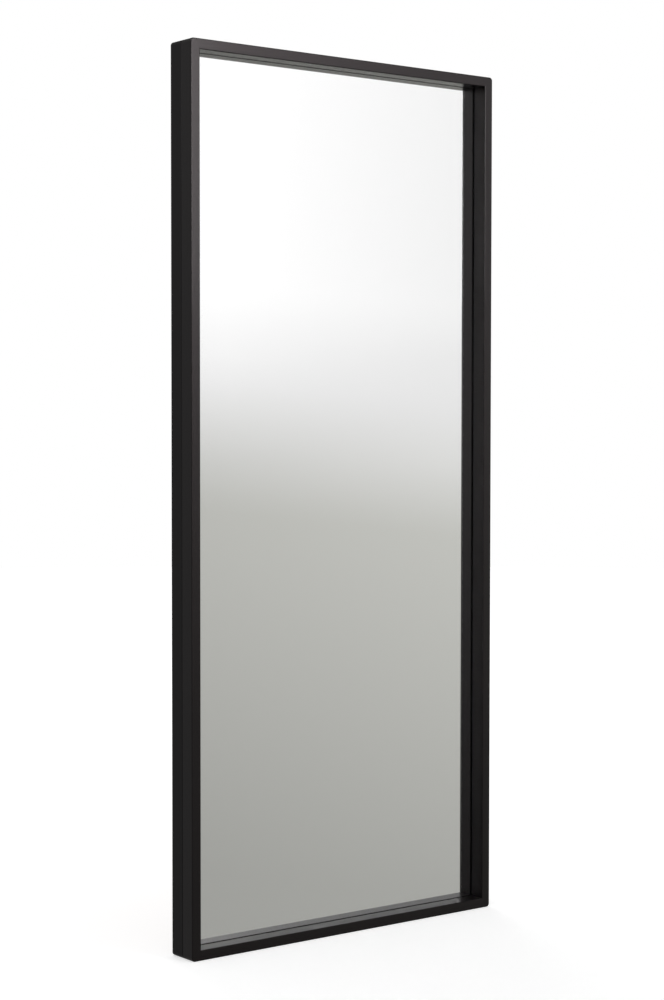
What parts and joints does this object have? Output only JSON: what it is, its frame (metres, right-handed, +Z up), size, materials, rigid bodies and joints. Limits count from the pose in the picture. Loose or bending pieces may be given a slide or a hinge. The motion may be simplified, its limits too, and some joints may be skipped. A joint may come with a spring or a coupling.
{
  "type": "leaning floor mirror",
  "caption": "Tall rectangular floor mirror in a deep, narrow dark frame, its glass set back from the front, with hanging rings in the recess at the back.",
  "frame": {"origin": "centre of the foot of the whole part, on the floor, wall bumpers included", "axes": "+Z up along the height, +X along the width, and the mirror faces -Y, so +Y points to the wall; the part is modelled upright and leans when it is placed"},
  "size_m": [0.65, 0.0624, 1.5],
  "materials": {
    "front_frame_lacquer": "satin near-black lacquer on solid wood",
    "rear_frame_lacquer": "satin near-black lacquer on solid wood",
    "beech_tongue": "planed, unfinished",
    "point_steel": "stamped spring steel",
    "float_glass": "clear float glass, edges ground",
    "silver_coating": "silver behind the glass, with protective paint",
    "glazing_tape": "black foam tape",
    "block_plastic": "moulded",
    "hardboard": "pressed hardboard, smooth side out",
    "zinc_strap": "zinc-plated sheet steel",
    "zinc_wire": "zinc-plated steel wire",
    "zinc_screw_steel": "zinc-plated steel",
    "bumper_rubber": "moulded matt rubber"
  },
  "bodies": {
    "frame": {"front_stile_left": "front_frame_lacquer", "front_stile_right": "front_frame_lacquer", "front_rail_top": "front_frame_lacquer", "front_rail_bottom": "front_frame_lacquer", "rear_stile_left": "rear_frame_lacquer", "rear_stile_right": "rear_frame_lacquer", "rear_rail_top": "rear_frame_lacquer", "rear_rail_bottom": "rear_frame_lacquer", "front_corner_tongues": "beech_tongue", "rear_corner_tongues": "beech_tongue", "glazing_points": "point_steel", "mirror_glass": "float_glass", "silver_coating": "silver_coating", "glazing_tape": "glazing_tape", "setting_blocks": "block_plastic", "top_spacers": "block_plastic", "side_spacers": "block_plastic", "backing_board": "hardboard", "hanger_strap_left": "zinc_strap", "hanger_strap_right": "zinc_strap", "hanger_screws": "zinc_screw_steel", "wall_bumpers": "bumper_rubber"},
    "ring_left": {"hanger_ring_left": "zinc_wire"},
    "ring_right": {"hanger_ring_right": "zinc_wire"}
  },
  "joints": [
    {"name": "ring_left_swing", "type": "hinge", "parent": "frame", "child": "ring_left", "pos_m": [-0.31147, 0.01685, 1.2], "axis": [0, -1, 0], "range_deg": [0, 173]},
    {"name": "ring_right_swing", "type": "hinge", "parent": "frame", "child": "ring_right", "pos_m": [0.31147, 0.01685, 1.2], "axis": [0, 1, 0], "range_deg": [0, 173]}
  ]
}
